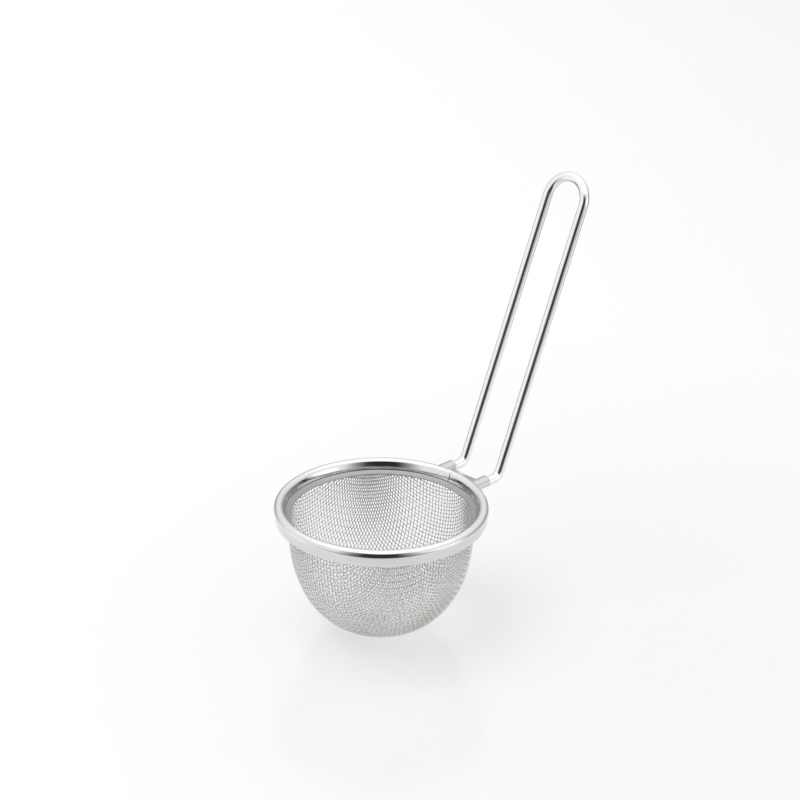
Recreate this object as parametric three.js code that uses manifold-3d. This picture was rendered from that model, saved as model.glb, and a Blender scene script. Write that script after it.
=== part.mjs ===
// A deep round tea strainer in stainless steel: a bowl of woven wire cloth held in a rolled rim band,
// and a hairpin handle of round wire, joined to the rim by a pressed sheet bracket.
// Millimetres, +Z up. The origin is the centre of the bowl's foot, and the handle leans out along +X.

import * as THREE from 'three';
import { mergeVertices } from 'three/addons/utils/BufferGeometryUtils.js';
import Module from 'manifold-3d';

// ---- driving dimensions ----

const RIM_DIAMETER = 70; // over the rolled bead
const HEIGHT = 45; // from the foot to the top of the bead
const RIM_HEIGHT = 5.35; // from the skirt's lower edge to the top of the bead
const SHEET = 0.4; // sheet of the rim band, the clamping ring and the bracket
const CLOTH = 0.7; // woven cloth, two wires thick
const BOWL_DIAMETER = 61; // over the cloth, under the rim
const FOOT_RADIUS = 4; // the flattest part of the bowl
const CLAMP_MOUTH = 59; // inner diameter of the clamping ring
const WIRE = 3.2; // handle wire diameter
const WIRE_SPACING = 16; // between the handle's two legs, centre to centre
const LEG_LENGTH = 94.8; // from the lower bend's corner to the centre of the loop
const LEG_ANGLE = THREE.MathUtils.degToRad(66.8); // above the horizontal
const BEND_RADIUS = 3.4; // centre line of the lower bends
const BEND_REACH = 46; // from the bowl's axis to the corner of the lower bends
const WIRE_DROP = 3.25; // handle wire's centre below the top of the bead
const GAP = 0.3; // clearance kept between neighbouring pieces

const ROUND_SEGMENTS = 48;

// ---- derived sizes ----

const rimRadius = RIM_DIAMETER / 2;
const skirtBottom = HEIGHT - RIM_HEIGHT;
const wireHeight = HEIGHT - WIRE_DROP;
const wireRadius = WIRE / 2;
const legOffset = WIRE_SPACING / 2;

// ---- materials ----

const steel = (color, roughness) => new THREE.MeshStandardMaterial({ color, roughness, metalness: 1 });
const wovenSteel = steel(0xb9bab6, 0.42);
const pressedSteel = steel(0xcfd0d2, 0.22);
const wireSteel = steel(0xd4d5d6, 0.18);

// ---- outlines ----

// points on an arc in the section plane, ends included
function arc(centreX, centreY, radius, fromDegrees, toDegrees, steps) {
  const points = [];
  for (let i = 0; i <= steps; i += 1) {
    const angle = THREE.MathUtils.degToRad(fromDegrees + ((toDegrees - fromDegrees) * i) / steps);
    points.push(new THREE.Vector2(centreX + radius * Math.cos(angle), centreY + radius * Math.sin(angle)));
  }
  return points;
}

// the closed outline of a strip of sheet that follows a middle line, with mitred corners
function sheetOutline(middle, thickness) {
  const left = [];
  const right = [];
  middle.forEach((point, i) => {
    const before = middle[Math.max(i - 1, 0)];
    const after = middle[Math.min(i + 1, middle.length - 1)];
    const incoming = i > 0 ? point.clone().sub(before).normalize() : null;
    const outgoing = i < middle.length - 1 ? after.clone().sub(point).normalize() : null;
    const first = incoming ?? outgoing;
    const second = outgoing ?? incoming;
    const normal = new THREE.Vector2(-first.y - second.y, first.x + second.x).normalize();
    const mitre = thickness / 2 / (normal.x * -first.y + normal.y * first.x);
    left.push(point.clone().addScaledVector(normal, mitre));
    right.push(point.clone().addScaledVector(normal, -mitre));
  });
  return [...right, ...left.reverse(), right[0].clone()];
}

// a ring or bowl turned about +Z from a closed outline of (radius, height) points
function turned(outline) {
  const area = THREE.ShapeUtils.area(outline);
  const points = area > 0 ? outline : [...outline].reverse();
  const geometry = new THREE.LatheGeometry(points, ROUND_SEGMENTS);
  geometry.rotateX(Math.PI / 2);
  return geometry;
}

// ---- the bowl of woven cloth ----

const BOWL_SQUARENESS = 2.42; // exponent of the bowl's superellipse profile; 2 would be an ellipse
const BOWL_STEPS = 13;
const CLAMP_SLOPE = 17; // degrees, of the clamping ring's ledge and the cloth under it
const CLOTH_BEND = 1.2; // radius where the cloth turns outward under the ledge
const EQUATOR_ABOVE_SKIRT = 0.2; // the bowl's widest level, above the skirt's lower edge
const BEND_BELOW_EQUATOR = 0.8;
const LEDGE_ABOVE_SKIRT = 1.2; // upper face of the ledge at its inner edge
const CLOTH_EDGE_BELOW_TOP = 2.2; // top of the cloth's turned-up edge, below the top of the bead

const clothRadius = BOWL_DIAMETER / 2 - CLOTH / 2;
const ledgeInner = CLAMP_MOUTH / 2;
const ledgeTop = skirtBottom + LEDGE_ABOVE_SKIRT;
const ledgeRise = Math.tan(THREE.MathUtils.degToRad(CLAMP_SLOPE));

function wovenBowl() {
  const equator = skirtBottom + EQUATOR_ABOVE_SKIRT;
  const depth = equator - CLOTH / 2;
  const middle = [];
  for (let i = 0; i <= BOWL_STEPS; i += 1) {
    const angle = (Math.PI / 2) * (1 - i / BOWL_STEPS);
    const radius = clothRadius * Math.cos(angle) ** (2 / BOWL_SQUARENESS);
    const height = equator - depth * Math.sin(angle) ** (2 / BOWL_SQUARENESS);
    middle.push(new THREE.Vector2(radius, height));
  }
  middle[0].set(0, CLOTH / 2);
  middle.splice(1, 0, new THREE.Vector2(FOOT_RADIUS, CLOTH / 2));
  middle.pop();

  const bendHeight = equator - BEND_BELOW_EQUATOR;
  const bend = arc(clothRadius + CLOTH_BEND, bendHeight, CLOTH_BEND, 180, 90 + CLAMP_SLOPE, 4);
  const bendEnd = bend[bend.length - 1];
  const edgeRadius = rimRadius - SHEET * 2 - GAP - CLOTH / 2;
  const corner = new THREE.Vector2(edgeRadius, bendEnd.y + (edgeRadius - bendEnd.x) * ledgeRise);
  middle.push(...bend, corner, new THREE.Vector2(edgeRadius, HEIGHT - CLOTH_EDGE_BELOW_TOP));
  return turned(sheetOutline(middle, CLOTH));
}

// ---- the rim band: a skirt, rolled over into a bead with a short inner wall ----

const BEAD_WIDTH = 3.2;
const SKIRT_STEP = 0.4; // the skirt stands this far inside the bead
const CREASE_BELOW_TOP = 2.05; // where the bead meets the skirt
const INNER_WALL_BELOW_TOP = 2.7; // lower edge of the bead's inner wall
const INNER_WALL_LEAN = 18; // degrees; the inner wall slopes in towards the bowl as it goes down

const beadRadius = BEAD_WIDTH / 2;
const beadMiddle = rimRadius - beadRadius;
const innerWallRadius = rimRadius - BEAD_WIDTH;

function rimBand() {
  const skirtRadius = rimRadius - SKIRT_STEP - SHEET / 2;
  const rollRadius = beadRadius - SHEET / 2;
  const rollHeight = HEIGHT - beadRadius;
  const roll = arc(beadMiddle, rollHeight, rollRadius, -12, 180 - INNER_WALL_LEAN, 12);
  const rollEnd = roll[roll.length - 1];
  const wallBottom = HEIGHT - INNER_WALL_BELOW_TOP;
  const leanIn = (rollEnd.y - wallBottom) * Math.tan(THREE.MathUtils.degToRad(INNER_WALL_LEAN));
  const middle = [
    new THREE.Vector2(skirtRadius, skirtBottom),
    new THREE.Vector2(skirtRadius, HEIGHT - CREASE_BELOW_TOP - SHEET / 2),
    ...roll,
    new THREE.Vector2(rollEnd.x - leanIn, wallBottom),
  ];
  return turned(sheetOutline(middle, SHEET));
}

// ---- the clamping ring: a flange inside the bead and a curved ledge that holds the cloth down ----

const LEDGE_INNER_SLOPE = 10; // degrees, at the ledge's inner edge
const LEDGE_OUTER_SLOPE = 52; // degrees, where the ledge runs up under the bead's inner wall
const FLANGE_TOP_BELOW_TOP = 1.3;

function clampingRing() {
  const flangeRadius = innerWallRadius + SHEET + GAP + SHEET / 2;
  const inner = THREE.MathUtils.degToRad(LEDGE_INNER_SLOPE);
  const outer = THREE.MathUtils.degToRad(LEDGE_OUTER_SLOPE);
  // the arc whose slope grows from the inner value to the outer one between the two radii
  const ledgeRadius = (flangeRadius - ledgeInner) / (Math.sin(outer) - Math.sin(inner));
  const centreX = ledgeInner - ledgeRadius * Math.sin(inner);
  const centreY = ledgeTop - SHEET / 2 + ledgeRadius * Math.cos(inner);
  const middle = [
    ...arc(centreX, centreY, ledgeRadius, LEDGE_INNER_SLOPE - 90, LEDGE_OUTER_SLOPE - 90, 8),
    new THREE.Vector2(flangeRadius, HEIGHT - FLANGE_TOP_BELOW_TOP),
  ];
  return turned(sheetOutline(middle, SHEET));
}

// ---- the handle: one round wire, two bends and a loop ----

// A path whose steps fall exactly on its own stations, so straight runs take one step each.
class StationPath extends THREE.Curve {
  constructor(stations) {
    super();
    this.stations = stations;
  }

  at(position, field) {
    const last = this.stations.length - 1;
    const index = Math.min(Math.floor(position * last + 1e-6), last - 1);
    const share = position * last - index;
    return this.stations[index][field].clone().lerp(this.stations[index + 1][field], share);
  }

  getPoint(position) {
    return this.at(position, 'point');
  }

  getPointAt(position) {
    return this.at(position, 'point');
  }

  getTangentAt(position) {
    return this.at(position, 'tangent').normalize();
  }
}

// stations on an arc that starts at a point with a tangent and turns towards a side direction
function turnStations(start, tangent, side, radius, angle, steps) {
  const stations = [];
  for (let i = 0; i <= steps; i += 1) {
    const turn = (angle * i) / steps;
    const point = start
      .clone()
      .addScaledVector(tangent, radius * Math.sin(turn))
      .addScaledVector(side, radius * (1 - Math.cos(turn)));
    const direction = tangent
      .clone()
      .multiplyScalar(Math.cos(turn))
      .addScaledVector(side, Math.sin(turn));
    stations.push({ point, tangent: direction });
  }
  return stations;
}

const BEND_STEPS = 6;
const LOOP_STEPS = 14;
const WIRE_SIDES = 12;

const WIRE_END_INSIDE_RIM = 0.2; // the wire's ends reach this far in under the bead's outer edge

const wireStart = rimRadius - WIRE_END_INSIDE_RIM;

function handleWire() {
  const outward = new THREE.Vector3(1, 0, 0);
  const upward = new THREE.Vector3(0, 0, 1);
  const across = new THREE.Vector3(0, 1, 0);
  const tangentLength = BEND_RADIUS * Math.tan(LEG_ANGLE / 2);

  const end = new THREE.Vector3(wireStart, -legOffset, wireHeight);
  const bendStart = new THREE.Vector3(BEND_REACH - tangentLength, -legOffset, wireHeight);
  const bend = turnStations(bendStart, outward, upward, BEND_RADIUS, LEG_ANGLE, BEND_STEPS);
  const leg = bend[BEND_STEPS].tangent;
  const loopStart = new THREE.Vector3(BEND_REACH, -legOffset, wireHeight).addScaledVector(leg, LEG_LENGTH);
  const loop = turnStations(loopStart, leg, across, legOffset, Math.PI, LOOP_STEPS);

  // the other half is the mirror of the first, walked backwards
  const mirrored = [{ point: end, tangent: outward }, ...bend].reverse().map(({ point, tangent }) => ({
    point: new THREE.Vector3(point.x, -point.y, point.z),
    tangent: tangent.clone().negate(),
  }));
  const stations = [{ point: end, tangent: outward }, ...bend, ...loop, ...mirrored];

  const section = new THREE.Shape();
  section.absarc(0, 0, wireRadius, 0, Math.PI * 2, false);
  return new THREE.ExtrudeGeometry(section, {
    curveSegments: WIRE_SIDES / 2,
    steps: stations.length - 1,
    extrudePath: new StationPath(stations),
  });
}

// ---- the bracket: a web with a half-round saddle over each end of the wire ----

const SADDLE_END = 40.6; // from the bowl's axis to the outer end of the saddles
const WEB_END = 39; // the web stops short of the saddles
const WEB_ABOVE_WIRE = 0.5; // underside of the web above the wire's centre
const LIP = 0.25; // the saddles reach this far below the wire's centre
const FLANGE_HALF_WIDTH = 5.4;
const FLANGE_DEPTH = 2.4; // turned down against the skirt
const CUT_SEGMENTS = 96;
const TRIM_ALLOWANCE = 5; // the pressed sheet starts this far inside the rim and is cut back to it

const saddleInner = wireRadius + GAP;
const saddleOuter = saddleInner + SHEET;

const manifoldLibrary = await Module();
manifoldLibrary.setup();

function toSolid(geometry) {
  const bare = geometry.clone();
  bare.deleteAttribute('normal');
  bare.deleteAttribute('uv');
  const merged = mergeVertices(bare.index ? bare.toNonIndexed() : bare, 1e-5);
  const mesh = new manifoldLibrary.Mesh({
    numProp: 3,
    vertProperties: new Float32Array(merged.attributes.position.array),
    triVerts: new Uint32Array(merged.index.array),
  });
  return new manifoldLibrary.Manifold(mesh);
}

function toGeometry(solid) {
  const { vertProperties, triVerts } = solid.getMesh();
  const geometry = new THREE.BufferGeometry();
  geometry.setAttribute('position', new THREE.BufferAttribute(vertProperties, 3));
  geometry.setIndex(new THREE.BufferAttribute(triVerts, 1));
  geometry.computeVertexNormals();
  return geometry;
}

function drum(radius, low, high) {
  const geometry = new THREE.CylinderGeometry(radius, radius, high - low, CUT_SEGMENTS);
  geometry.rotateX(Math.PI / 2);
  geometry.translate(0, 0, (low + high) / 2);
  return toSolid(geometry);
}

function block(low, high) {
  const geometry = new THREE.BoxGeometry(high[0] - low[0], high[1] - low[1], high[2] - low[2]);
  geometry.translate((low[0] + high[0]) / 2, (low[1] + high[1]) / 2, (low[2] + high[2]) / 2);
  return toSolid(geometry);
}

// the pressed sheet seen from its outer end: across to the right, up, with the wires' centres at height 0
function bracketSection() {
  const webTop = WEB_ABOVE_WIRE + SHEET;
  const topAngle = Math.asin(webTop / saddleOuter);
  const underAngle = Math.asin(WEB_ABOVE_WIRE / saddleInner);
  const shape = new THREE.Shape();
  shape.moveTo(-legOffset - saddleOuter, -LIP);
  shape.lineTo(-legOffset - saddleOuter, 0);
  shape.absarc(-legOffset, 0, saddleOuter, Math.PI, topAngle, true);
  shape.absarc(legOffset, 0, saddleOuter, Math.PI - topAngle, 0, true);
  shape.lineTo(legOffset + saddleOuter, -LIP);
  shape.lineTo(legOffset + saddleInner, -LIP);
  shape.lineTo(legOffset + saddleInner, 0);
  shape.absarc(legOffset, 0, saddleInner, 0, Math.PI - underAngle, false);
  shape.absarc(-legOffset, 0, saddleInner, underAngle, Math.PI, false);
  shape.lineTo(-legOffset - saddleInner, -LIP);
  shape.closePath();
  return shape;
}

function handleBracket() {
  const start = rimRadius - TRIM_ALLOWANCE;
  const pressed = new THREE.ExtrudeGeometry(bracketSection(), {
    depth: SADDLE_END - start,
    bevelEnabled: false,
    curveSegments: 7,
  });
  const outward = new THREE.Vector3(1, 0, 0);
  const across = new THREE.Vector3(0, 1, 0);
  const upward = new THREE.Vector3(0, 0, 1);
  pressed.applyMatrix4(new THREE.Matrix4().makeBasis(across, upward, outward));
  pressed.translate(start, 0, wireHeight);

  const skirtClear = rimRadius - SKIRT_STEP + GAP;
  const beadClear = rimRadius + GAP;
  const webUnderside = wireHeight + WEB_ABOVE_WIRE;
  const webTop = webUnderside + SHEET;
  const beyond = rimRadius * 2;

  const flange = drum(skirtClear + SHEET, webTop - SHEET / 2 - FLANGE_DEPTH, webTop - SHEET / 2)
    .subtract(drum(skirtClear, 0, HEIGHT))
    .intersect(block([0, -FLANGE_HALF_WIDTH, 0], [beyond, FLANGE_HALF_WIDTH, HEIGHT]));
  const notch = block([WEB_END, -FLANGE_HALF_WIDTH, 0], [beyond, FLANGE_HALF_WIDTH, HEIGHT]);
  const bracket = toSolid(pressed)
    .subtract(drum(skirtClear, 0, HEIGHT))
    .subtract(drum(beadClear, webTop, HEIGHT + beadRadius))
    .subtract(notch)
    .add(flange);
  return toGeometry(bracket);
}

// ---- the assembly ----

function piece(name, geometry, material) {
  const mesh = new THREE.Mesh(geometry, material);
  mesh.name = name;
  return mesh;
}

const strainer = new THREE.Group();
strainer.add(piece('woven_bowl', wovenBowl(), wovenSteel));
strainer.add(piece('rim_band', rimBand(), pressedSteel));
strainer.add(piece('clamping_ring', clampingRing(), pressedSteel));
strainer.add(piece('handle_bracket', handleBracket(), pressedSteel));
strainer.add(piece('handle_wire', handleWire(), wireSteel));

export default strainer;
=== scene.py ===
import math

import bmesh
import bpy
import numpy as np
from mathutils import Matrix, Vector

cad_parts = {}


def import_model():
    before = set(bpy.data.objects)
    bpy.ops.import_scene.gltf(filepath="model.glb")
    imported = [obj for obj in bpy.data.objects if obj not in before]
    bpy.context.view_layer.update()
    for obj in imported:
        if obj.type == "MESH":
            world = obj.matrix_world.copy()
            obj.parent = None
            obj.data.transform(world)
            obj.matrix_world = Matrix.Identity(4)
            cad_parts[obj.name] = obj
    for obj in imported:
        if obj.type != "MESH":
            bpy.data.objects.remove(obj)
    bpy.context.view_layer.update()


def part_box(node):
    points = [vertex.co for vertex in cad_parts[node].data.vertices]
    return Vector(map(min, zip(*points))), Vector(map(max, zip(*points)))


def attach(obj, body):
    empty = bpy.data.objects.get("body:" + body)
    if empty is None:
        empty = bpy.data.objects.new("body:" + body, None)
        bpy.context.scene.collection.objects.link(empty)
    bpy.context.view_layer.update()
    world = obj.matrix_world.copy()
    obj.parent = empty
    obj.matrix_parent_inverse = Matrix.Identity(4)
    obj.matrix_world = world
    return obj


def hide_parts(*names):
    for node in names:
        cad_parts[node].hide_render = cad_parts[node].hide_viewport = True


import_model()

MM = 0.001
rng = np.random.default_rng(7)


# ---- sizes in millimetres; the places come from the frame ----

def box_mm(node):
    low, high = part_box(node)
    return np.array(low) / MM, np.array(high) / MM


rim_low, rim_high = box_mm("rim_band")
wire_low, wire_high = box_mm("handle_wire")
bracket_low, bracket_high = box_mm("handle_bracket")
ring_high = box_mm("clamping_ring")[1]

SHEET = 0.4
CLEARANCE = 0.3                      # between one piece and the next
TOP = rim_high[2]
RIM_R = rim_high[0]
SKIRT_BOTTOM = rim_low[2]
SKIRT_FACE_R = RIM_R - 0.4           # the bead stands this far out past the skirt
CREASE_Z = TOP - 2.05                # where the skirt meets the bead

WIRE_D = 3.2
WIRE_Z = wire_low[2] + WIRE_D / 2
LEG_Y = wire_high[1] - WIRE_D / 2
LEG_ANGLE = math.radians(66.8)
LEG_LENGTH = 94.8
BEND_X = 46.0                        # where the two straights of a leg would cross
BEND_R = 3.4


# ---- mesh building ----

def make_mesh(name, verts, faces, uvs, sharp=None):
    """verts in millimetres; one uv for each; edges over sharp degrees stay sharp."""
    mesh = bpy.data.meshes.new(name)
    mesh.from_pydata((verts * MM).tolist(), [], faces)
    mesh.update()
    layer = mesh.uv_layers.new(name="UVMap")
    loops = np.zeros(len(mesh.loops), dtype=np.int32)
    mesh.loops.foreach_get("vertex_index", loops)
    layer.data.foreach_set("uv", uvs.astype(np.float32)[loops].ravel())
    mesh.shade_smooth()
    if sharp:
        mesh.set_sharp_from_angle(angle=math.radians(sharp))
    piece = bpy.data.objects.new(name, mesh)
    bpy.context.scene.collection.objects.link(piece)
    return piece


def finish_piece(piece, material, node):
    piece.data.materials.append(material)
    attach(piece, "root")
    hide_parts(node)


def fix_normals(piece):
    """Turns every face of a closed mesh outwards."""
    bm = bmesh.new()
    bm.from_mesh(piece.data)
    bmesh.ops.recalc_face_normals(bm, faces=bm.faces[:])
    bm.to_mesh(piece.data)
    bm.free()


def grid_faces(rows, cols, close_rows, close_cols):
    """The quads of a grid of points, joined back to its start along either way."""
    i = np.arange(rows if close_rows else rows - 1)
    j = np.arange(cols if close_cols else cols - 1)
    a, b = np.meshgrid(i, j, indexing="ij")
    a2, b2 = (a + 1) % rows, (b + 1) % cols
    quads = np.stack([a * cols + b, a2 * cols + b, a2 * cols + b2, a * cols + b2], axis=-1)
    return quads.reshape(-1, 4)


def run_along(points):
    """The distance from the first point to each point of a polyline."""
    return np.concatenate([[0], np.cumsum(np.linalg.norm(np.diff(points, axis=0), axis=1))])


def fillet(points, radii, step_deg):
    """A polyline with its inner corners rounded to the given radii."""
    points = [np.array(p, float) for p in points]
    out = [points[0]]
    for before, corner, after, radius in zip(points, points[1:], points[2:], radii):
        u = (before - corner) / np.linalg.norm(before - corner)
        v = (after - corner) / np.linalg.norm(after - corner)
        inside = math.acos(np.clip(np.dot(u, v), -1, 1))
        if radius <= 0 or inside > math.radians(178):
            out.append(corner)
            continue
        reach = radius / math.tan(inside / 2)
        middle = corner + (u + v) / np.linalg.norm(u + v) * (radius / math.sin(inside / 2))
        start, end = corner + u * reach, corner + v * reach
        sweep = math.pi - inside
        steps = max(2, int(math.degrees(sweep) / step_deg))
        for n in range(steps + 1):
            t = n / steps
            from_start = math.sin((1 - t) * sweep) / math.sin(sweep)
            from_end = math.sin(t * sweep) / math.sin(sweep)
            out.append(middle + (start - middle) * from_start + (end - middle) * from_end)
    out.append(points[-1])
    return np.array(out)


def arc2(cx, cy, radius, start_deg, end_deg, steps):
    t = np.radians(np.linspace(start_deg, end_deg, steps + 1))
    return np.stack([cx + radius * np.cos(t), cy + radius * np.sin(t)], axis=1)


def path_tangents(points):
    """Each segment's direction, and each point's, halfway between its two segments."""
    ahead = np.diff(points, axis=0)
    ahead /= np.linalg.norm(ahead, axis=1)[:, None]
    tangent = np.vstack([ahead[:1], ahead[:-1] + ahead[1:], ahead[-1:]])
    return ahead, tangent / np.linalg.norm(tangent, axis=1)[:, None]


def strip_outline(middle, edge_steps=4):
    """The closed outline of a sheet along a middle line, with rounded edges."""
    ahead, tangent = path_tangents(middle)
    normal = np.stack([-tangent[:, 1], tangent[:, 0]], axis=1)
    arriving = np.vstack([ahead[:1], ahead])
    arriving_normal = np.stack([-arriving[:, 1], arriving[:, 0]], axis=1)
    radius = SHEET / 2
    mitre = radius / np.sum(normal * arriving_normal, axis=1)
    left = middle + normal * mitre[:, None]
    right = middle - normal * mitre[:, None]

    def cap(centre, direction, side):
        t = np.linspace(0, math.pi, edge_steps + 2)[1:-1]
        return centre + radius * (np.cos(t)[:, None] * side + np.sin(t)[:, None] * direction)

    end = cap(middle[-1] - tangent[-1] * radius, tangent[-1], -normal[-1])
    start = cap(middle[0] + tangent[0] * radius, -tangent[0], normal[0])
    for face in (left, right):
        face[-1] -= tangent[-1] * radius
        face[0] += tangent[0] * radius
    return np.vstack([right, end, left[::-1], start])


def swept_round(outline, angles, shrink):
    """The (radius, height) outline stood up at each angle about Z, drawn in by its shrink.

    Also says whether the outline runs clockwise."""
    tangent = np.roll(outline, -1, axis=0) - np.roll(outline, 1, axis=0)
    tangent /= np.linalg.norm(tangent, axis=1)[:, None]
    inward = np.stack([-tangent[:, 1], tangent[:, 0]], axis=1)
    radius, height = outline.T
    clockwise = np.sum(radius * np.roll(height, -1) - np.roll(radius, -1) * height) < 0
    if clockwise:
        inward = -inward
    rings = []
    for angle, pull in zip(angles, shrink):
        r, z = (outline + inward * pull).T
        rings.append(np.stack([r * math.cos(angle), r * math.sin(angle), z], axis=1))
    return np.vstack(rings), clockwise


def round_uvs(outline, angles, radius):
    along = run_along(outline)
    return np.vstack([np.stack([np.full(len(outline), angle * radius), along], axis=1) for angle in angles])


def turned(name, outline, segments, seam=None):
    """A closed (radius, height) outline turned about Z, whole or with a butt seam at an angle."""
    if seam is None:
        angles = np.linspace(0, 2 * math.pi, segments, endpoint=False)
        shrink = np.zeros(segments)
    else:
        # the sheet's two ends are rounded a little where they meet
        soft = SEAM_SOFT / RIM_R
        start, end = seam + SEAM_GAP / 2 / RIM_R, seam + 2 * math.pi - SEAM_GAP / 2 / RIM_R
        body = np.linspace(start + soft, end - soft, segments)
        angles = np.concatenate([[start, start + soft * 0.35], body, [end - soft * 0.35, end]])
        draw = [SEAM_DRAW, SEAM_DRAW / 3]
        shrink = np.concatenate([draw, np.zeros(segments), draw[::-1]])
    verts, clockwise = swept_round(outline, angles, shrink)
    rows, cols = len(angles), len(outline)
    faces = grid_faces(rows, cols, seam is None, True)
    first = list(range(cols))
    last = [(rows - 1) * cols + k for k in range(cols)]
    if clockwise:
        faces, first = faces[:, ::-1], first[::-1]
    else:
        last = last[::-1]
    faces = faces.tolist() + ([] if seam is None else [first, last])
    return make_mesh(name, verts, faces, round_uvs(outline, angles, outline[:, 0].mean()), sharp=50)


def tube(path, radius, sides, normal):
    """Vertices, faces and uvs of a round tube along a path."""
    _, tangent = path_tangents(path)
    side = np.cross(tangent, normal)
    side /= np.linalg.norm(side, axis=1)[:, None]
    up = np.cross(side, tangent)
    t = np.linspace(0, 2 * math.pi, sides, endpoint=False)
    around = np.cos(t)[None, :, None] * side[:, None] + np.sin(t)[None, :, None] * up[:, None]
    verts = (path[:, None] + radius * around).reshape(-1, 3)
    faces = grid_faces(len(path), sides, False, True)[:, ::-1]
    uvs = np.stack([np.repeat(run_along(path), sides), np.tile(t * radius, len(path))], axis=1)
    return verts, faces, uvs


# ---- node building ----

def node_tree(name):
    material = bpy.data.materials.new(name)
    material.use_nodes = True
    tree = material.node_tree
    tree.nodes.clear()
    out = tree.nodes.new("ShaderNodeOutputMaterial")
    shader = tree.nodes.new("ShaderNodeBsdfPrincipled")
    tree.links.new(shader.outputs[0], out.inputs[0])
    return material, tree, shader


def noise(tree, vector, scale, detail=2.0, rough=0.55):
    node = tree.nodes.new("ShaderNodeTexNoise")
    node.inputs["Scale"].default_value = scale
    node.inputs["Detail"].default_value = detail
    node.inputs["Roughness"].default_value = rough
    tree.links.new(vector, node.inputs["Vector"])
    return node.outputs["Fac"]


def span(tree, value, low, high, to_low, to_high):
    """A number that goes from to_low to to_high as the value goes from low to high, and no further."""
    node = tree.nodes.new("ShaderNodeMapRange")
    for socket, number in zip(node.inputs[1:5], (low, high, to_low, to_high)):
        socket.default_value = number
    tree.links.new(value, node.inputs[0])
    return node.outputs[0]


def scaled(tree, vector, scale):
    node = tree.nodes.new("ShaderNodeMapping")
    node.inputs["Scale"].default_value = scale
    tree.links.new(vector, node.inputs["Vector"])
    return node.outputs[0]


def maths(tree, operation, *values):
    node = tree.nodes.new("ShaderNodeMath")
    node.operation = operation
    for socket, value in zip(node.inputs, values):
        if isinstance(value, (int, float)):
            socket.default_value = value
        else:
            tree.links.new(value, socket)
    return node.outputs[0]


def product(tree, a, b):
    return maths(tree, "MULTIPLY", a, b)


def total(tree, a, b):
    return maths(tree, "ADD", a, b)


def rest_of(tree, share):
    """What is left of one when a share is taken away."""
    return maths(tree, "SUBTRACT", 1.0, share)


def tinted(tree, factor, dark, light):
    node = tree.nodes.new("ShaderNodeMix")
    node.data_type = "RGBA"
    node.inputs["A"].default_value = (*dark, 1)
    node.inputs["B"].default_value = (*light, 1)
    tree.links.new(factor, node.inputs["Factor"])
    return node.outputs["Result"]


def add_relief(tree, shader, height, strength):
    """Relief up to a hundredth of a millimetre deep."""
    bump = tree.nodes.new("ShaderNodeBump")
    bump.inputs["Strength"].default_value = strength
    bump.inputs["Distance"].default_value = 0.01 * MM
    tree.links.new(height, bump.inputs["Height"])
    tree.links.new(bump.outputs[0], shader.inputs["Normal"])


# ---- materials ----

def polished_steel(name, dark, light, rough, lines, line_depth):
    """Bright steel with drawing lines along U, faint hand marks, and tiny pits."""
    material, tree, shader = node_tree(name)
    coords = tree.nodes.new("ShaderNodeTexCoord")
    stretched = scaled(tree, coords.outputs["UV"], (0.05, lines, 1))
    streak = noise(tree, stretched, scale=1.0, detail=4.0, rough=0.6)
    cloud = noise(tree, coords.outputs["Object"], scale=90.0)
    speck = noise(tree, coords.outputs["Object"], scale=2600.0)
    shader.inputs["Metallic"].default_value = 1.0
    tree.links.new(tinted(tree, cloud, dark, light), shader.inputs["Base Color"])
    wear = total(tree, span(tree, streak, 0.3, 0.7, -0.03, 0.03), span(tree, cloud, 0.35, 0.65, -0.02, 0.04))
    tree.links.new(total(tree, wear, rough), shader.inputs["Roughness"])
    add_relief(tree, shader, total(tree, streak, product(tree, speck, 0.25)), line_depth)
    return material


def woven_steel(name, dark, light):
    """Drawn wire whose tone and polish vary along each wire and from one part of the cloth to another."""
    material, tree, shader = node_tree(name)
    coords = tree.nodes.new("ShaderNodeTexCoord")
    fine = noise(tree, coords.outputs["Object"], scale=1900.0)
    broad = noise(tree, coords.outputs["Object"], scale=70.0)
    shader.inputs["Metallic"].default_value = 1.0
    mixed = total(tree, product(tree, fine, 0.5), product(tree, broad, 0.5))
    tone = tinted(tree, span(tree, mixed, 0.35, 0.65, 0, 1), dark, light)
    tree.links.new(tone, shader.inputs["Base Color"])
    tree.links.new(span(tree, fine, 0.3, 0.7, 0.12, 0.22), shader.inputs["Roughness"])
    add_relief(tree, shader, fine, 0.25)
    return material


SHEET_STEEL = polished_steel("polished_sheet", dark=(0.67, 0.667, 0.66), light=(0.73, 0.727, 0.72),
                             rough=0.12, lines=3.0, line_depth=0.10)
# painted shade: the ring is the same steel as the rim, but its tone is set far darker to stand in for the
# shade it lies in inside the bead
RING_STEEL_PAINTED_SHADE = polished_steel("turned_sheet_painted_shade", dark=(0.29, 0.288, 0.28), light=(0.37, 0.367, 0.36),
                            rough=0.22, lines=5.0, line_depth=0.18)
BRACKET_STEEL = polished_steel("pressed_bracket", dark=(0.48, 0.48, 0.475), light=(0.60, 0.60, 0.595),
                               rough=0.16, lines=4.0, line_depth=0.16)
WIRE_STEEL = polished_steel("polished_wire", dark=(0.80, 0.80, 0.795), light=(0.86, 0.86, 0.855),
                            rough=0.17, lines=2.2, line_depth=0.10)
CLOTH_STEEL = woven_steel("woven_wire", dark=(0.60, 0.597, 0.585), light=(0.76, 0.757, 0.745))


# ---- the rim band ----

SEAM = math.radians(1.5)
SEAM_GAP = 0.12
SEAM_SOFT = 0.10                     # how far back the rounding of the two ends reaches
SEAM_DRAW = 0.06                     # how far it draws their surfaces in
BEAD_R = 1.6
ROLL_R = BEAD_R - SHEET / 2          # down the middle of the rolled sheet
FLATTER_R = 1.95                     # the roll's outer side is a little flatter
FLATTER_FROM, FLATTER_TO = 2, 40     # degrees above level
WALL_LEAN = 18                       # degrees from upright
WALL_STATIONS = (TOP - 2.0, TOP - 3.2)
CORNER_BELOW_CREASE = 0.22
CORNER_R = 0.15


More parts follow.
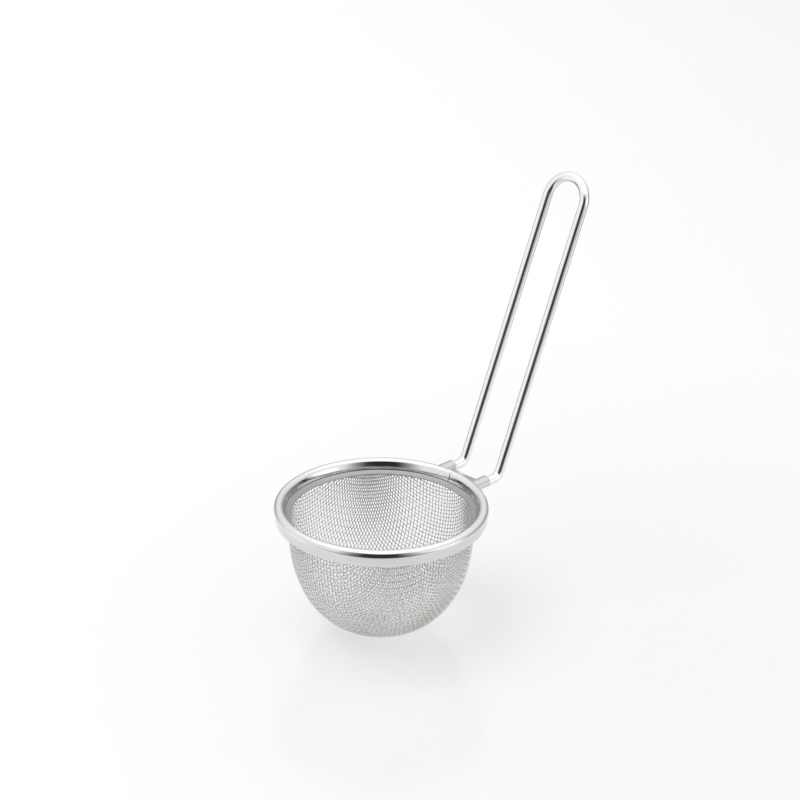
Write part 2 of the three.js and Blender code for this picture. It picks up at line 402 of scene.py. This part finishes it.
def rim_band():
    """A skirt that turns sharply out into the rolled bead, which ends in a short leaning inner wall."""
    bead_r, bead_z = RIM_R - BEAD_R, TOP - BEAD_R
    change = math.radians(FLATTER_TO)
    flatter_r = bead_r + (ROLL_R - FLATTER_R) * math.cos(change)
    flatter_z = bead_z + (ROLL_R - FLATTER_R) * math.sin(change)
    roll = np.vstack([arc2(flatter_r, flatter_z, FLATTER_R, FLATTER_FROM, FLATTER_TO, 10)[:-1],
                      arc2(bead_r, bead_z, ROLL_R, FLATTER_TO, 180 - WALL_LEAN, 26)])
    skirt_r = SKIRT_FACE_R - SHEET / 2
    corner = (skirt_r, CREASE_Z - CORNER_BELOW_CREASE)
    skirt = fillet([(skirt_r, SKIRT_BOTTOM), corner, roll[0]], [CORNER_R], 15)
    wall_r, wall_z = roll[-1]
    lean = math.tan(math.radians(WALL_LEAN))
    wall = [(wall_r - (wall_z - z) * lean, z) for z in WALL_STATIONS]
    piece = turned("rim_band_rolled", strip_outline(np.vstack([skirt, roll[1:], wall])), 384, seam=SEAM)
    finish_piece(piece, SHEET_STEEL, "rim_band")


# ---- the clamping ring ----

RING_INNER_R = 29.5
RING_FLANGE_R = RIM_R - 2 * BEAD_R + SHEET + CLEARANCE + SHEET / 2
LEDGE_ABOVE_SKIRT = 1.2
LEDGE_FROM, LEDGE_TO = 10, 52        # the ledge's slope at its inner and outer edge, in degrees


def clamping_ring():
    """A dished ledge that turns up into a flange inside the bead."""
    inner, outer = math.radians(LEDGE_FROM), math.radians(LEDGE_TO)
    dish_r = (RING_FLANGE_R - RING_INNER_R) / (math.sin(outer) - math.sin(inner))
    centre_r = RING_INNER_R - dish_r * math.sin(inner)
    centre_z = SKIRT_BOTTOM + LEDGE_ABOVE_SKIRT - SHEET / 2 + dish_r * math.cos(inner)
    ledge = arc2(centre_r, centre_z, dish_r, LEDGE_FROM - 90, LEDGE_TO - 90, 20)
    outline = strip_outline(np.vstack([ledge, [(RING_FLANGE_R, ring_high[2])]]))
    finish_piece(turned("clamping_ring_turned", outline, 320), RING_STEEL_PAINTED_SHADE, "clamping_ring")


# ---- the bowl of woven cloth ----

PITCH = 1.27                         # 20 wires to the inch
CLOTH_WIRE = 0.31
CRIMP = 0.165                        # how far a wire waves to either side of the cloth's middle
WEAVE_TURN = math.radians(9.0)
WANDER = 0.006                       # about how far a wire strays sideways
SIDES = 8
SUBSTEPS = 4                         # path steps from one crossing to the next

CLOTH_HALF = 0.35                    # half the cloth's thickness in the frame
BOWL_R = 61 / 2 - CLOTH_HALF
BOWL_POWER = 2.42                    # the profile is a little squarer than an ellipse, which is 2
EQUATOR_Z = SKIRT_BOTTOM + 0.2
BEND_Z = EQUATOR_Z - 0.8             # where the wall starts to turn out under the ledge
BEND_OUT_R = 1.2
LEDGE_SLOPE = 17                     # degrees
BEND_UP_R = 0.7
CLOTH_EDGE_R = SKIRT_FACE_R - SHEET - CLEARANCE - CLOTH_HALF
CLOTH_EDGE_Z = TOP - 2.6
FINE_STEP = 0.04
NEARLY_FLAT_R = 6


def bowl_profile():
    """The line down the middle of the cloth, from the foot out and up past its edge, in fine equal steps.

    Gives the distance along it, its radius, height and direction, and the distance to the cloth's edge."""
    t = np.linspace(math.pi / 2, 0.0, 700)
    dome = np.stack([BOWL_R * np.cos(t) ** (2 / BOWL_POWER),
                     EQUATOR_Z - (EQUATOR_Z - CLOTH_HALF) * np.sin(t) ** (2 / BOWL_POWER)], axis=1)
    dome = dome[dome[:, 1] < BEND_Z]
    bend_out = arc2(BOWL_R + BEND_OUT_R, BEND_Z, BEND_OUT_R, 180, 90 + LEDGE_SLOPE, 40)
    ledge_r, ledge_z = bend_out[-1]
    corner_z = ledge_z + (CLOTH_EDGE_R - ledge_r) * math.tan(math.radians(LEDGE_SLOPE))
    bend_up = fillet([bend_out[-1], (CLOTH_EDGE_R, corner_z), (CLOTH_EDGE_R, TOP + 6)], [BEND_UP_R], 4)
    line = np.vstack([dome, bend_out, bend_up[1:]])
    steps = run_along(line)
    keep = np.concatenate([[True], np.diff(steps) > 1e-6])
    line, steps = line[keep], steps[keep]
    fine = np.arange(0, steps[-1], FINE_STEP)
    r = np.interp(fine, steps, line[:, 0])
    z = np.interp(fine, steps, line[:, 1])
    edge = fine[np.argmax((z > CLOTH_EDGE_Z) & (r > CLOTH_EDGE_R - 0.5))]
    # the direction is smoothed over 15 steps, and is level at the foot
    kernel = np.ones(15) / 15
    dr = np.convolve(np.gradient(r, fine), kernel, "same")
    dz = np.convolve(np.gradient(z, fine), kernel, "same")
    dr[:8], dz[:8] = 1.0, 0.0
    size = np.hypot(dr, dz)
    return fine, r, z, dr / size, dz / size, edge


RUN, RUN_R, RUN_Z, RUN_DR, RUN_DZ, EDGE_RUN = bowl_profile()


def on_cloth(run, theta):
    """The point in the cloth's middle at a distance from the foot, in the direction theta from the axis."""
    r, z = np.interp(run, RUN, RUN_R), np.interp(run, RUN, RUN_Z)
    return np.stack([r * np.cos(theta), r * np.sin(theta), z], axis=-1)


def a_pitch_from_both(first, second, run, theta):
    """Moves points over the bowl, by Newton's method, until each is a pitch from its two neighbours."""
    longest = 0.4
    for _ in range(14):
        point = on_cloth(run, theta)
        dr, dz = np.interp(run, RUN, RUN_DR), np.interp(run, RUN, RUN_DZ)
        by_run = np.stack([dr * np.cos(theta), dr * np.sin(theta), dz], axis=1)
        by_theta = np.stack([-point[:, 1], point[:, 0], np.zeros(len(point))], axis=1)
        miss1 = np.sum((point - first) ** 2, axis=1) - PITCH ** 2
        miss2 = np.sum((point - second) ** 2, axis=1) - PITCH ** 2
        # how fast each miss changes as the point moves along its run and round by theta
        m11 = 2 * np.sum((point - first) * by_run, axis=1)
        m12 = 2 * np.sum((point - first) * by_theta, axis=1)
        m21 = 2 * np.sum((point - second) * by_run, axis=1)
        m22 = 2 * np.sum((point - second) * by_theta, axis=1)
        det = m11 * m22 - m12 * m21
        det = np.where(np.abs(det) < 1e-9, 1e-9, det)
        widest = longest / np.maximum(np.hypot(point[:, 0], point[:, 1]), 0.5)
        run = run - np.clip((miss1 * m22 - miss2 * m12) / det, -longest, longest)
        theta = theta - np.clip((m11 * miss2 - m21 * miss1) / det, -widest, widest)
    return run, theta


def net_quadrant(count):
    """The crossings of the two families of wires over a quarter of the bowl.

    They stay a pitch apart along both, while the openings between them shear, as flat cloth does."""
    run = np.full((count, count), np.nan)
    theta = np.full((count, count), np.nan)
    run[:, 0] = run[0, :] = np.arange(count) * PITCH
    theta[0, :] = math.pi / 2
    theta[:, 0] = 0.0
    limit = RUN[-1] - 1.0
    for diagonal in range(2, 2 * count - 1):
        i = np.arange(max(1, diagonal - count + 1), min(diagonal, count))
        j = diagonal - i
        inside = (run[i - 1, j] < limit) & (run[i, j - 1] < limit)
        i, j = i[inside], j[inside]
        if not len(i):
            continue
        first = on_cloth(run[i - 1, j], theta[i - 1, j])
        second = on_cloth(run[i, j - 1], theta[i, j - 1])
        guess = first + second - on_cloth(run[i - 1, j - 1], theta[i - 1, j - 1])
        # near the foot the bowl is almost flat, and further out the runs themselves add up
        flat = np.hypot(guess[:, 0], guess[:, 1])
        guess_run = np.where(flat < NEARLY_FLAT_R, flat, run[i - 1, j] + run[i, j - 1] - run[i - 1, j - 1])
        guess_theta = np.arctan2(guess[:, 1], guess[:, 0])
        run[i, j], theta[i, j] = a_pitch_from_both(first, second, guess_run, guess_theta)
    return run, theta


def full_net():
    """The quadrant's crossings, turned into all four quarters of the bowl."""
    count = int(EDGE_RUN / PITCH) + 4
    run, theta = net_quadrant(count)
    size = 2 * count - 1
    whole_run, whole_theta = np.full((size, size), np.nan), np.full((size, size), np.nan)
    mid = count - 1
    i, j = np.meshgrid(np.arange(count), np.arange(count), indexing="ij")
    for turn, (across, along) in enumerate(((i, j), (-j, i), (-i, -j), (j, -i))):
        whole_run[mid + across, mid + along] = run
        whole_theta[mid + across, mid + along] = theta + turn * math.pi / 2
    return whole_run, whole_theta + WEAVE_TURN


def catmull(points, steps):
    """Points between the crossings, through a smooth curve."""
    padded = np.vstack([2 * points[0] - points[1], points, 2 * points[-1] - points[-2]])
    p0, p1, p2, p3 = (p[:, None, :] for p in (padded[:-3], padded[1:-2], padded[2:-1], padded[3:]))
    t = (np.arange(steps) / steps)[None, :, None]
    curve = 0.5 * (2 * p1 + (p2 - p0) * t + (2 * p0 - 5 * p1 + 4 * p2 - p3) * t ** 2
                   + (3 * p1 - p0 - 3 * p2 + p3) * t ** 3)
    return np.vstack([curve.reshape(-1, points.shape[1]), points[-1:]])


def wire_path(run, theta, sign):
    """One wire through its crossings, waving over and under, cut off at the cloth's edge."""
    points = on_cloth(run, theta)
    dr, dz = np.interp(run, RUN, RUN_DR), np.interp(run, RUN, RUN_DZ)
    normal = np.stack([dz * np.cos(theta), dz * np.sin(theta), -dr], axis=1)
    fine = catmull(np.hstack([points, normal, run[:, None]]), SUBSTEPS)
    wave = CRIMP * sign * np.cos(math.pi * np.arange(len(fine)) / SUBSTEPS)
    keep = fine[:, 6] <= EDGE_RUN + 0.05
    first, last = np.argmax(keep), len(keep) - np.argmax(keep[::-1])
    fine, wave = fine[first:last], wave[first:last]
    points, normal = fine[:, :3], fine[:, 3:6] / np.linalg.norm(fine[:, 3:6], axis=1)[:, None]
    drift = rng.normal(0, WANDER)
    rate = rng.uniform(0.15, 0.4)
    start = rng.uniform(0, 6.28)
    sway = WANDER * np.sin(np.arange(len(fine)) / SUBSTEPS * rate + start) + drift
    ahead = np.gradient(points, axis=0)
    ahead /= np.linalg.norm(ahead, axis=1)[:, None]
    side = np.cross(normal, ahead)
    return points + normal * wave[:, None] + side * sway[:, None], normal


def joined_wires(wires):
    """The vertices, faces and uvs of many tubes in one mesh, with their ends closed."""
    offset, quads, ends = 0, [], []
    for verts, faces, _ in wires:
        quads.append(faces + offset)
        ends.append([offset + m for m in range(SIDES)])
        ends.append([offset + len(verts) - 1 - m for m in range(SIDES)])
        offset += len(verts)
    verts = np.vstack([wire[0] for wire in wires])
    uvs = np.vstack([wire[2] for wire in wires])
    return verts, np.vstack(quads).tolist() + ends, uvs


def woven_bowl():
    """The cloth, with a quarter of the warp or of the weft in each piece, so that none is too large."""
    run, theta = full_net()
    size = len(run)
    for family, word in enumerate(("warp", "weft")):
        rows = zip(run.T, theta.T) if word == "warp" else zip(run, theta)
        groups = [[] for _ in range(4)]
        for k, (row_run, row_theta) in enumerate(rows):
            inside = np.where(row_run <= EDGE_RUN)[0]
            if len(inside) < 3:
                continue
            # one crossing more at each end, so that the wire reaches the edge before it is cut
            low, high = inside[0], inside[-1]
            low = low - 1 if low > 0 and np.isfinite(row_run[low - 1]) else low
            high = high + 1 if high < size - 1 and np.isfinite(row_run[high + 1]) else high
            sign = 1.0 if (low + k + family) % 2 == 0 else -1.0
            path, normal = wire_path(row_run[low:high + 1], row_theta[low:high + 1], sign)
            groups[min(3, k * 4 // size)].append(tube(path, CLOTH_WIRE / 2, SIDES, normal))
        for number, wires in enumerate(groups, 1):
            piece = make_mesh(f"cloth_{word}_{number}", *joined_wires(wires))
            finish_piece(piece, CLOTH_STEEL, "woven_bowl")


# ---- the handle ----

WIRE_SIDES = 40


def turn_points(start, tangent, side, radius, angle, steps):
    t = np.linspace(0, angle, steps + 1)[:, None]
    return start + tangent * radius * np.sin(t) + side * radius * (1 - np.cos(t))


def handle_wire():
    """One length of wire: out from the rim, up one leg, round the loop and back down the other."""
    out, across, up = np.eye(3)
    start = np.array([wire_low[0], -LEG_Y, WIRE_Z])
    corner = np.array([BEND_X, -LEG_Y, WIRE_Z])
    reach = BEND_R * math.tan(LEG_ANGLE / 2)
    bend = turn_points(corner - out * reach, out, up, BEND_R, LEG_ANGLE, 14)
    leg = out * math.cos(LEG_ANGLE) + up * math.sin(LEG_ANGLE)
    top = corner + leg * LEG_LENGTH
    loop = turn_points(top, leg, across, LEG_Y, math.pi, 48)
    run_in = start + out * np.linspace(0, 1, 8)[:-1, None] * (bend[0][0] - start[0])
    run_up = bend[-1] + (top - bend[-1]) * np.linspace(0, 1, 40)[1:-1, None]
    half = np.vstack([run_in, bend, run_up])
    path = np.vstack([half, loop, (half * [1, -1, 1])[::-1]])
    turns = np.concatenate([np.zeros(len(run_in)), np.linspace(0, LEG_ANGLE, len(bend)),
                            np.full(len(run_up), LEG_ANGLE)])
    turns = np.concatenate([turns, np.full(len(loop), LEG_ANGLE), turns[::-1]])
    normal = np.stack([-np.sin(turns), np.zeros(len(turns)), np.cos(turns)], axis=1)
    verts, faces, uvs = tube(path, WIRE_D / 2, WIRE_SIDES, normal)
    ends = [list(range(WIRE_SIDES)), [len(verts) - 1 - m for m in range(WIRE_SIDES)]]
    piece = make_mesh("handle_wire_bent", verts, faces.tolist() + ends, uvs, sharp=50)
    finish_piece(piece, WIRE_STEEL, "handle_wire")


# ---- the bracket ----

SADDLE_R = WIRE_D / 2 + CLEARANCE + SHEET / 2    # down the middle of its sheet
SADDLE_FOOT = 187                    # degrees round from the web's side, where a saddle ends
SADDLE_END_X = bracket_high[0]
SADDLE_CUT = 0.9                     # how far the free corner of that end is cut back
WEB_RISE = 0.5 + SHEET / 2           # the web's middle above the wires' centre line
WEB_END_X = 39.0                     # its free edge
WEB_HALF = 5.55                      # half its width
WEB_BLEND = 0.55                     # the width over which its edge runs out to a saddle's
WEB_BEND_R = 0.45
WEB_DROOP = 0.7
BRACKET_CLEAR_R = SKIRT_FACE_R + CLEARANCE
STATIONS = 14


def bracket_section():
    """The (y, height above the wires) line over both saddles and the web between them."""
    join = math.asin(WEB_RISE / SADDLE_R)
    outer_side = arc2(-LEG_Y, 0, SADDLE_R, SADDLE_FOOT, 90, 20)
    inner_side = arc2(-LEG_Y, 0, SADDLE_R, 90, math.degrees(join) + 16, 12)[1:]
    web = [(-LEG_Y + SADDLE_R * math.cos(join) + 0.05, WEB_RISE), (0, WEB_RISE)]
    line = np.vstack([outer_side, inner_side, web])
    line = fillet(line, [0] * (len(line) - 3) + [WEB_BEND_R], 10)
    return np.vstack([line[:-1], (line * [-1, 1])[::-1]])


def bracket_rows():
    """For each point of the section, stations from the rim out to the bracket's free edge."""
    rows = []
    along = np.linspace(0, 1, STATIONS)
    for y, z in bracket_section():
        saddle = np.clip((abs(y) - WEB_HALF) / WEB_BLEND, 0, 1)
        saddle = saddle * saddle * (3 - 2 * saddle)
        cut = SADDLE_CUT * np.clip((abs(y) - LEG_Y - 1.2) / 1.2, 0, 1) ** 2
        x_out = WEB_END_X + (SADDLE_END_X - WEB_END_X) * saddle - cut
        # a saddle's top is beside the bead, so it starts further out than what is beside the skirt
        beside_bead = z > 1.2 and WIRE_Z + z + SHEET / 2 > CREASE_Z
        x_in = math.sqrt((RIM_R + 0.05 if beside_bead else BRACKET_CLEAR_R) ** 2 - y ** 2)
        height = WIRE_Z + z - WEB_DROOP * (1 - saddle) * along ** 2
        rows.append(np.stack([np.linspace(x_in, x_out, STATIONS), np.full(STATIONS, y), height], axis=1))
    return np.array(rows)


def bracket():
    """The pressed web and saddles, as one sheet with rounded edges."""
    rows = bracket_rows()
    n, m = rows.shape[:2]
    normal = np.cross(np.gradient(rows, axis=1), np.gradient(rows, axis=0))
    normal /= np.linalg.norm(normal, axis=2)[:, :, None]
    normal *= np.where(normal[n // 2, m // 2, 2] > 0, 1, -1)
    top, low = rows + normal * SHEET / 2, rows - normal * SHEET / 2
    verts = np.vstack([top.reshape(-1, 3), low.reshape(-1, 3)])
    quads = grid_faces(n, m, False, False)
    faces = quads.tolist() + (quads[:, ::-1] + n * m).tolist()
    border = ([k for k in range(m)] + [r * m + m - 1 for r in range(1, n)]
              + [(n - 1) * m + k for k in range(m - 2, -1, -1)] + [r * m for r in range(n - 2, 0, -1)])
    for a, b in zip(border, border[1:] + border[:1]):
        faces.append([b, a, a + n * m, b + n * m])
    uvs = np.tile(rows[:, :, :2].reshape(-1, 2), (2, 1))
    piece = make_mesh("bracket_saddles", verts, faces, uvs, sharp=50)
    fix_normals(piece)
    bevel = piece.modifiers.new("edge", "BEVEL")
    bevel.width = 0.09 * MM
    bevel.segments = 3
    bevel.limit_method = "ANGLE"
    bevel.angle_limit = math.radians(50)
    finish_piece(piece, BRACKET_STEEL, "handle_bracket")


FLANGE_HALF = 5.4
FLANGE_REACH = 0.7                   # how far its flat end runs out under the web
FLANGE_TUCK = 0.12                   # how far that end lies below the web's upper face
FLANGE_BEND_R = 0.35


def bracket_root():
    """The short flange turned down against the skirt."""
    flange_r = BRACKET_CLEAR_R + SHEET / 2
    web_z = WIRE_Z + WEB_RISE - FLANGE_TUCK
    profile = [(flange_r + FLANGE_REACH, web_z), (flange_r, web_z), (flange_r, bracket_low[2])]
    outline = strip_outline(fillet(profile, [FLANGE_BEND_R], 12))
    half = math.asin(FLANGE_HALF / flange_r)
    angles = np.linspace(-half, half, 25)
    verts, _ = swept_round(outline, angles, np.zeros(len(angles)))
    cols = len(outline)
    faces = grid_faces(len(angles), cols, False, True).tolist()
    faces += [list(range(cols)), [(len(angles) - 1) * cols + k for k in range(cols)][::-1]]
    piece = make_mesh("bracket_flange", verts, faces, round_uvs(outline, angles, flange_r), sharp=50)
    fix_normals(piece)
    finish_piece(piece, BRACKET_STEEL, "handle_bracket")


rim_band()
clamping_ring()
woven_bowl()
handle_wire()
bracket()
bracket_root()


# ---- the camera ----

AZIMUTH = -43.881                    # degrees
ELEVATION = 24.533
ROLL = 0.541
DISTANCE = 850                       # in millimetres, level with the middle of the rim
AIM_RIGHT, AIM_UP = 6.086, 34.408    # how far the camera's axis passes from that middle
RIM_MIDDLE = Vector((0, 0, TOP - 1.15))


def picture_axes():
    """The picture's right and up, and the way into it."""
    a, e, roll = (math.radians(v) for v in (AZIMUTH, ELEVATION, ROLL))
    level = Vector((math.cos(a), math.sin(a), 0))
    away = Vector((-math.sin(a), math.cos(a), 0))
    forward = away * math.cos(e) - Vector((0, 0, 1)) * math.sin(e)
    upright = Vector((0, 0, 1)) * math.cos(e) + away * math.sin(e)
    right = level * math.cos(roll) + upright * math.sin(roll)
    above = upright * math.cos(roll) - level * math.sin(roll)
    return right, above, forward


def camera():
    right, above, forward = picture_axes()
    place = (RIM_MIDDLE - forward * DISTANCE + right * AIM_RIGHT + above * AIM_UP) * MM
    data = bpy.data.cameras.new("camera")
    data.sensor_width = 36
    data.lens = 117.45
    data.clip_start = 0.01
    data.clip_end = 20
    eye = bpy.data.objects.new("camera", data)
    turn = Matrix((right, above, -forward)).transposed().to_4x4()
    eye.matrix_world = Matrix.Translation(place) @ turn
    bpy.context.scene.collection.objects.link(eye)
    bpy.context.scene.camera = eye


# ---- the stage, in metres; directions are degrees from the camera's side towards the picture's right ----

def towards(tree, vector, degrees):
    """How far a vector reaches in a level direction."""
    turn = math.radians(AZIMUTH + degrees)
    node = tree.nodes.new("ShaderNodeVectorMath")
    node.operation = "DOT_PRODUCT"
    node.inputs[1].default_value = (math.sin(turn), -math.cos(turn), 0)
    tree.links.new(vector, node.inputs[0])
    return node.outputs["Value"]


def glossy_ray(tree):
    """One for the rays that reflections send out, and nought for all others."""
    return tree.nodes.new("ShaderNodeLightPath").outputs["Is Glossy Ray"]


def floor():
    """A pale sheet that glows faintly, so that it fades into the background."""
    size = 3.0
    corners = [(-size, -size, 0), (size, -size, 0), (size, size, 0), (-size, size, 0)]
    mesh = bpy.data.meshes.new("floor")
    mesh.from_pydata(corners, [], [(0, 1, 2, 3)])
    plane = bpy.data.objects.new("floor", mesh)
    bpy.context.scene.collection.objects.link(plane)
    material, tree, shader = node_tree("white_board")
    place = tree.nodes.new("ShaderNodeTexCoord").outputs["Object"]
    open_floor = tinted(tree, noise(tree, place, scale=4.0), (0.62, 0.62, 0.62), (0.64, 0.64, 0.64))

    # in reflections only, the floor is dark further off in front of the object and behind it
    front = span(tree, towards(tree, place, 0), 0.135, 0.165, 0, 1)
    back = span(tree, towards(tree, place, 180), 0.13, 0.19, 0, 0.8)
    dark = product(tree, maths(tree, "MAXIMUM", front, back), glossy_ray(tree))
    floor_mix = tree.nodes.new("ShaderNodeMix")
    floor_mix.data_type = "RGBA"
    floor_mix.inputs["B"].default_value = (0.02, 0.02, 0.02, 1)
    tree.links.new(dark, floor_mix.inputs["Factor"])
    tree.links.new(open_floor, floor_mix.inputs["A"])
    tree.links.new(floor_mix.outputs["Result"], shader.inputs["Base Color"])
    shader.inputs["Roughness"].default_value = 0.2

    # the glow grows away from the object, and fades from the picture's left to its right
    away = tree.nodes.new("ShaderNodeVectorMath")
    away.operation = "LENGTH"
    tree.links.new(place, away.inputs[0])
    glow = total(tree, span(tree, away.outputs["Value"], 0.09, 0.27, 0.42, 0.47),
                 span(tree, towards(tree, place, 90), -0.2, 0.25, 0.02, -0.07))
    shader.inputs["Emission Color"].default_value = (1, 1, 1, 1)
    tree.links.new(product(tree, glow, rest_of(tree, dark)), shader.inputs["Emission Strength"])
    mesh.materials.append(material)


def light():
    """One broad soft box above, a little to the left and nearer the camera, which reflections don't show."""
    right, _, forward = picture_axes()
    level = Vector((forward.x, forward.y, 0)).normalized()
    place = Vector((0, 0, 1.25)) - right * 0.45 - level * 0.15
    data = bpy.data.lights.new("soft_box", "AREA")
    data.shape = "SQUARE"
    data.size = 0.9
    data.energy = 5.8
    lamp = bpy.data.objects.new("soft_box", data)
    lamp.location = place
    lamp.rotation_euler = (-place).to_track_quat("-Z", "Y").to_euler()
    lamp.visible_glossy = False
    lamp.visible_camera = False
    bpy.context.scene.collection.objects.link(lamp)


def world():
    """A plain white studio, and the richer one that reflections show. Heights are degrees above level."""
    sky = bpy.data.worlds.new("studio")
    bpy.context.scene.world = sky
    sky.use_nodes = True
    tree = sky.node_tree
    background = tree.nodes["Background"]
    background.inputs["Color"].default_value = (1, 1, 1, 1)
    direction = tree.nodes.new("ShaderNodeTexCoord").outputs["Generated"]
    split = tree.nodes.new("ShaderNodeSeparateXYZ")
    tree.links.new(direction, split.inputs[0])
    height = split.outputs["Z"]
    # the direction's level part, kept from nought so that it can divide
    level = maths(tree, "SQRT", maths(tree, "MAXIMUM", rest_of(tree, product(tree, height, height)), 1e-4))

    def facing(degrees, outer, inner, most):
        """Nought from outer degrees off a direction, and most within inner degrees of it."""
        cosine = maths(tree, "DIVIDE", towards(tree, direction, degrees), level)
        return span(tree, cosine, math.cos(math.radians(outer)), math.cos(math.radians(inner)), 0, most)

    def climbing(low, high, at_low, at_high):
        return span(tree, height, math.sin(math.radians(low)), math.sin(math.radians(high)), at_low, at_high)

    # a dark gap low on the camera's side, a greyer wall low behind, a small bright card low on the right
    gap = product(tree, facing(-1, 46, 17, 0.975), climbing(38, 54, 1, 0))
    wall = product(tree, facing(155, 90, 53.13, 0.50), climbing(8, 24, 1, 0))
    card = product(tree, facing(72, 24, 10, 0.8), climbing(7, 15, 1, 0))
    overhead = climbing(35, 60, 0.0, 0.45)
    lit = total(tree, total(tree, maths(tree, "SUBTRACT", 1.08, wall), card), overhead)
    seen = product(tree, lit, rest_of(tree, gap))
    # everything else is lit by a plain sky, brightest near the floor
    plain = climbing(8, 30, 1.0, 0.50)
    mirror = glossy_ray(tree)
    shade = total(tree, product(tree, seen, mirror), product(tree, plain, rest_of(tree, mirror)))
    tree.links.new(shade, background.inputs["Strength"])


floor()
world()
light()
camera()

bpy.context.scene.view_settings.view_transform = "Standard"

bpy.context.view_layer.update()
